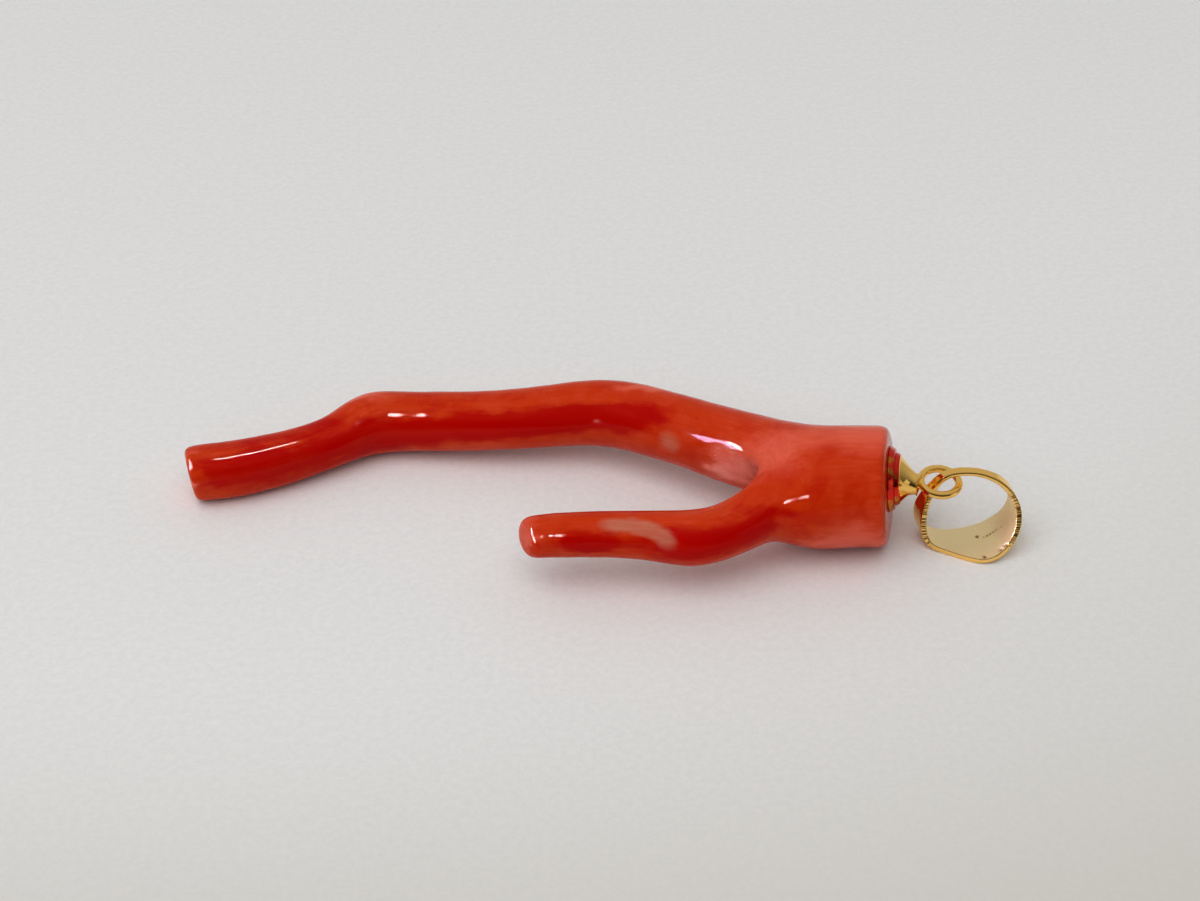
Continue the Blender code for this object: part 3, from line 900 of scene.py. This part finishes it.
# The band's middle line, with its width, its outward way and how far along it each point is
def bandPath():
    x, z, near, far = bandRows().T
    points = np.stack([x, (near + far) / 2, z], axis=1)
    flat = points * (1, 0, 1)
    ways = np.roll(flat, -1, axis=0) - np.roll(flat, 1, axis=0)
    ways /= np.linalg.norm(ways, axis=1)[:, None]
    outward = np.cross(ways, (0.0, -1.0, 0.0))
    half = (far - near) / 2
    skew = math.tan(math.radians(bail["skewAngle"]))
    wide = np.stack([-skew * half, half, np.zeros(len(half))], axis=1)
    steps = np.linalg.norm(np.roll(flat, -1, axis=0) - flat, axis=1)
    along = np.concatenate([[0.0], np.cumsum(steps)[:-1]])
    count = len(points)
    mesh = bpy.data.meshes.new("bandPath")
    mesh.from_pydata(points.tolist(), [(k, (k + 1) % count) for k in range(count)], [])
    for name, values in (("wide", wide), ("outward", outward)):
        layer = mesh.attributes.new(name, "FLOAT_VECTOR", "POINT")
        layer.data.foreach_set("vector", values.astype(np.float32).ravel())
    layer = mesh.attributes.new("along", "FLOAT", "POINT")
    layer.data.foreach_set("value", along.astype(np.float32))
    return mesh


# The band as a tube round its path; each point of the outline then goes to its real place across it
def growBand(inputs):
    inputs = {**inputs, "Material": goldMaterial}
    tree, start = startTree("bailBand", inputs)
    shape = start["Shape"]
    section = bail["outline"]

    def attribute(name, kind="FLOAT_VECTOR"):
        return shape.node("GeometryNodeInputNamedAttribute", {"data_type": kind}, {
            "Name": name}, "Attribute")

    def store(thing, name, value, kind="FLOAT_VECTOR"):
        return thing.node("GeometryNodeStoreNamedAttribute", {"data_type": kind, "domain": "POINT"}, {
            "Geometry": thing, "Name": name, "Value": value})

    place = shape.node("GeometryNodeInputPosition")
    path = store(shape, "centre", place)
    path = path.node("GeometryNodeMeshToCurve", {}, {"Mesh": path})
    square = shape.node("GeometryNodeCurvePrimitiveQuadrilateral", {"mode": "RECTANGLE"}, {
        "Width": section["width"], "Height": section["height"]})
    square = square.node("GeometryNodeFilletCurve", {"mode": "POLY"}, {
        "Curve": square, "Count": section["points"], "Radius": section["corner"]})
    square = square.node("GeometryNodeResampleCurve", {}, {
        "Curve": square, "Count": start["Outline Points"]})
    square = store(square, "outline", place)
    band = path.node("GeometryNodeCurveToMesh", {}, {"Curve": path, "Profile Curve": square})

    outline = attribute("outline")
    outward = attribute("outward")
    wide = attribute("wide")
    half = wide.node("ShaderNodeVectorMath", {"operation": "LENGTH"}, {0: wide}, "Value")
    narrow = half.step(*bail["narrowHalf"])
    corner = start["Corner Radius"] * (1.0 - narrow) + start["Narrow Radius"] * narrow

    # one side of the outline: its flat takes what the corners leave of the real half size
    def sideReach(value, size, realHalf):
        edge = size / 2 - section["corner"]
        flat = value.maths("MINIMUM", value.maths("MAXIMUM", value, -edge), edge)
        return flat / edge * (realHalf - corner) + (value - flat) / section["corner"] * corner

    across = sideReach(outline.part("X"), section["width"], half)
    lift = sideReach(outline.part("Y"), section["height"], start["Thickness"] * 0.5)
    moved = attribute("centre") + wide / half * across + outward * lift
    band = band.node("GeometryNodeSetPosition", {}, {"Geometry": band, "Position": moved})

    # dents of the hammer, and fine notches where the near rim was dressed with a file
    along = attribute("along", "FLOAT")
    dents = place.node("ShaderNodeTexNoise", {"noise_dimensions": "4D"}, {
        "Vector": place, "W": start["Seed"], "Scale": 1.1, "Detail": 2.0}, 0)
    notches = place.node("ShaderNodeTexNoise", {"noise_dimensions": "1D"}, {
        "W": along / start["Notch Pitch"], "Scale": 1.0, "Detail": 1.0}, 0).step(0.5, 0.62)
    rim = (across + half).step(*bail["nearRim"])
    beside = place.part("X") - bail["notchMiddle"]
    beside = beside.maths("ABSOLUTE", beside).step(*bail["notchSides"])
    notches = notches * beside * rim
    cutting = wide / half * (notches * start["Notch Depth"])
    offset = outward * ((dents - 0.5) * start["Dent Height"]) + cutting
    band = band.node("GeometryNodeSetPosition", {}, {"Geometry": band, "Offset": offset})
    inner = lift.step(*bail["innerFace"])
    band = store(band, "worn", inner * (1.0 - rim * 0.7), "FLOAT")
    band = store(band, "dirt", notches * 0.6, "FLOAT")
    band = store(band, "brushed", shape.node("ShaderNodeCombineXYZ", {}, {0: along, 1: across, 2: lift}))
    endTree(tree, band, start["Material"])
    return runTree("bandPath", bandPath(), tree, inputs)


# Small dark dents in the inner face
def pressMarks(mesh):
    dirt = mesh.attributes["dirt"].data
    moves = []
    for index, vertex in enumerate(mesh.vertices):
        place = vertex.co / unit
        for middle, reach, depth in bail["marks"]:
            away = Vector([(p - m) / r for p, m, r in zip(place, middle, reach)])
            if away.length < 1.0:
                amount = (1 - away.length_squared) ** 2
                moves.append((index, vertex.normal * (-depth * amount * unit)))
                dirt[index].value = max(dirt[index].value, amount * bail["markDirt"])
    for index, move in moves:
        mesh.vertices[index].co += move
    mesh.update()


def buildBail():
    piece = freeze(growBand(bail["sizes"]), "tapered_bail", goldMaterial, Matrix.Scale(unit, 4))
    pressMarks(piece.data)
    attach(piece, "bail")
    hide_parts("bail")


buildBail()

print("stage: paper")
paper = {
    "size": 1200.0,
    "tone": (0.76, 0.76, 0.76),
    "fibreTone": (0.815, 0.81, 0.81),
    "paintedShadeTone": (0.60, 0.575, 0.53),
    "rightShade": (0.0, 140.0),      # painted shade: the sheet darkens to the right, by x less y, and towards the camera, by y
    "nearShade": (-14.0, -62.0),
    "bumpStrength": 0.03,
    "bumpHeight": 0.0003,           # metres
}


def makePaperMaterial():
    material, shader, start = startMaterial("paper", {"Roughness": 1.0, "Specular IOR Level": 0.02})
    place = start.surface()
    fibres = place.texture(2.0, 6.0, 0.7).step(0.3, 0.7)
    tone = start.colour(paper["tone"]).blend(paper["fibreTone"], fibres)
    # painted shade: the sheet darkens to the right and towards the camera
    rightward = (place.part("X") - place.part("Y")).step(*paper["rightShade"])
    nearward = place.part("Y").step(*paper["nearShade"])
    tone = tone.blend(paper["paintedShadeTone"], 1.0 - (1.0 - rightward) * (1.0 - nearward))
    tone.feed(shader, "Base Color")
    grain = start.node("ShaderNodeBump", {}, {
        "Strength": paper["bumpStrength"], "Distance": paper["bumpHeight"], "Height": fibres}, "Normal")
    grain.feed(shader, "Normal")
    return material


def addFloor():
    bm = bmesh.new()
    bmesh.ops.create_grid(bm, x_segments=1, y_segments=1, size=paper["size"] * unit / 2)
    mesh = bpy.data.meshes.new("paper")
    bm.to_mesh(mesh)
    bm.free()
    floor = addObject("paper", mesh, makePaperMaterial())
    floor.location.z = cadBox[0].z


addFloor()

print("stage: light")
# Azimuth from the camera's side towards +X, and hidden, the kind of ray that doesn't meet the lamp:
# the windows are only seen as reflections, and the soft light from overhead and in front makes none
roomLamps = {
    "windowPane": {
        "azimuth": -84.0, "elevation": 16.0, "distance": 600.0, "size": (70.0, 320.0), "power": 7.0,
        "colour": (1.0, 1.0, 1.0), "hidden": "visible_diffuse",
    },
    "windowSky": {
        "azimuth": -75.5, "elevation": 16.0, "distance": 600.0, "size": (90.0, 320.0), "power": 5.0,
        "colour": (0.8, 0.66, 1.0), "hidden": "visible_diffuse",
    },
    "fill": {
        "azimuth": 0.0, "elevation": 12.0, "distance": 600.0, "size": (600.0, 300.0), "power": 0.3,
        "colour": (1.0, 1.0, 1.0), "hidden": "visible_glossy",
    },
    "roomRight": {
        "azimuth": 62.0, "elevation": 8.0, "distance": 600.0, "size": (260.0, 200.0), "power": 0.08,
        "colour": (1.0, 1.0, 1.0), "hidden": "visible_diffuse",
    },
    "overhead": {
        "azimuth": -30.0, "elevation": 60.0, "distance": 800.0, "size": (1100.0, 900.0), "power": 4.15,
        "colour": (1.0, 1.0, 1.0), "hidden": "visible_glossy",
    },
}
# Bright strips close over the piece, each only seen mirrored
glints = {
    "glow": 110.0,      # radiance, watts per square metre and steradian
    # the strip's two ends, its width, the spot it faces and the spread of its light in degrees
    "strips": [
        ((-33.5, 3.4, 7.4), (-32.1, -2.0, 7.5), 1.6, (-29.0, 1.2, 3.5), 100.0),
        ((-27.3, 3.0, 13.5), (-20.3, 7.0, 13.3), 0.7, (-24.0, 2.6, 3.8), 90.0),
        ((-16.2, 0.7, 12.0), (-16.1, 2.4, 12.8), 1.0, (-13.9, 6.2, 4.0), 70.0),
        ((-9.9, -10.6, 5.7), (-8.3, -12.9, 4.6), 1.6, (-4.4, -8.7, 4.9), 58.0),
        ((-3.8, -15.1, 9.75), (-3.1, -15.1, 9.75), 1.2, (-3.1, -8.6, 5.1), 40.0),
        ((10.6, -14.6, 10.8), (12.4, -14.6, 10.8), 1.0, (12.1, -6.3, 5.8), 50.0),
    ],
}
room = {
    "frontTone": (0.035, 0.035, 0.04),
    "backTone": (0.46, 0.455, 0.44),
    "rise": (0.6, 0.8),         # shares of +Y and +Z in the way towards the room's bright side
    "fade": (-0.35, 0.75),
}


def addLamp(name, size, power, colour=(1.0, 1.0, 1.0)):
    light = bpy.data.lights.new(name, "AREA")
    light.shape = "RECTANGLE"
    light.size, light.size_y = size[0] * unit, size[1] * unit
    light.energy = power
    light.color = colour
    lamp = bpy.data.objects.new(name, light)
    bpy.context.scene.collection.objects.link(lamp)
    return lamp


# A lamp far off in the room, which faces the piece
def addRoomLamp(name):
    spec = roomLamps[name]
    lamp = addLamp(name, spec["size"], spec["power"], spec["colour"])
    turn, rise = math.radians(spec["azimuth"]), math.radians(spec["elevation"])
    away = Vector((math.sin(turn) * math.cos(rise), -math.cos(turn) * math.cos(rise), math.sin(rise)))
    lamp.location = away * spec["distance"] * unit
    lamp.rotation_euler = (-away).to_track_quat("-Z", "Y").to_euler()
    setattr(lamp, spec["hidden"], False)


# A strip of light that is only seen mirrored in the polish
def addGlint(index, start, end, width, spot, spread):
    start, end, spot = Vector(start), Vector(end), Vector(spot)
    middle = (start + end) / 2
    along = (end - start).normalized()
    away = middle - spot
    away = (away - along * away.dot(along)).normalized()
    size = ((end - start).length, width)
    # a narrow spread gathers the same power, so this keeps the strip's glow on its axis
    half = math.radians(spread) / 2
    area = size[0] * size[1] * unit * unit
    power = glints["glow"] * math.pi * area * (1 - half / math.tan(half))
    lamp = addLamp("glint" + str(index), size, power)
    lamp.data.spread = half * 2
    lamp.rotation_euler = Matrix((along, away.cross(along), away)).transposed().to_euler()
    lamp.location = middle * unit
    lamp.visible_diffuse = False
    lamp.visible_camera = False


# A bright room behind the piece and a dimmer one on the camera's side
def addRoom():
    world = bpy.data.worlds.new("room")
    world.use_nodes = True
    bpy.context.scene.world = world
    start = Wire(world.node_tree)
    way = start.node("ShaderNodeTexCoord", {}, {}, "Generated")
    back, up = room["rise"]
    behind = (way.part("Y") * back + way.part("Z") * up).step(*room["fade"])
    colour = start.colour(room["frontTone"]).blend(room["backTone"], behind)
    colour.feed(world.node_tree.nodes["Background"], "Color")


for name in ("windowPane", "windowSky"):
    addRoomLamp(name)
for index, strip in enumerate(glints["strips"]):
    addGlint(index, *strip)
for name in ("fill", "roomRight", "overhead"):
    addRoomLamp(name)
addRoom()
bpy.context.scene.view_settings.view_transform = "Standard"
bpy.context.scene.view_settings.look = "Medium High Contrast"
